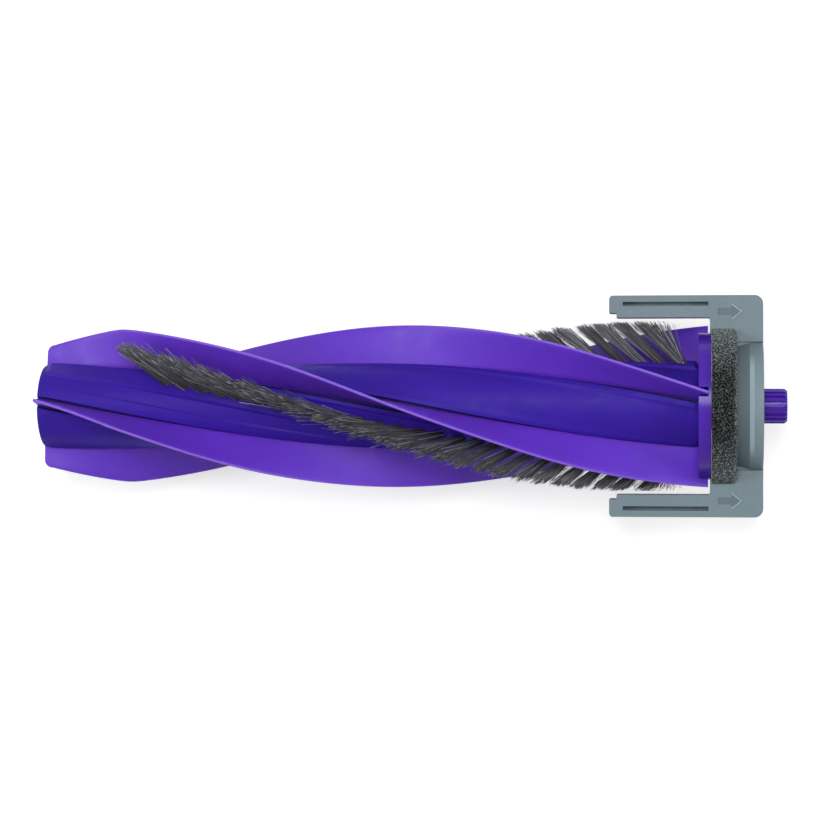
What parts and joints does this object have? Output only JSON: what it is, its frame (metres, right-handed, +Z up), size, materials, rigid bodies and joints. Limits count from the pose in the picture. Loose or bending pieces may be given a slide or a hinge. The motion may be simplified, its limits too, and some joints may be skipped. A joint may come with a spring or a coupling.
{
  "type": "robot vacuum roller brush",
  "caption": "Roller brush with helical rubber blades and leaning bristle rows on a moulded core, driven by a splined stub in a grey fork-shaped end frame with a foam-sealed bearing cap.",
  "frame": {"origin": "centre of the idler bore's mouth at the free end of the brush, on the brush axis", "axes": "+X along the brush axis to the drive end, +Z up on the side with the domed bearing cap and the foam, +Y across the fork"},
  "size_m": [0.2769, 0.081, 0.0636],
  "materials": {
    "violet_plastic": "smooth moulded plastic, half gloss",
    "violet_rubber": "soft satin rubber",
    "bristle_nylon": "dark grey crimped filaments",
    "bush_polymer": "natural bearing polymer",
    "clip_steel": "stamped spring steel",
    "grey_plastic": "fine moulded texture",
    "grey_foam": "open-cell foam"
  },
  "bodies": {
    "frame": {"end_frame": "grey_plastic", "bearing_bush": "bush_polymer", "bearing_cap": "grey_plastic", "foam_seal": "grey_foam"},
    "brush": {"brush_core": "violet_plastic", "blade_1": "violet_rubber", "blade_2": "violet_rubber", "blade_3": "violet_rubber", "blade_4": "violet_rubber", "bristle_row_1": "bristle_nylon", "bristle_row_2": "bristle_nylon", "idler_bush": "bush_polymer", "drive_hub": "violet_plastic", "retaining_clip": "clip_steel"}
  },
  "joints": [
    {"name": "brush_spin", "type": "hinge", "parent": "frame", "child": "brush", "pos_m": [0.26, 0, 0], "axis": [1, 0, 0], "continuous": true}
  ]
}
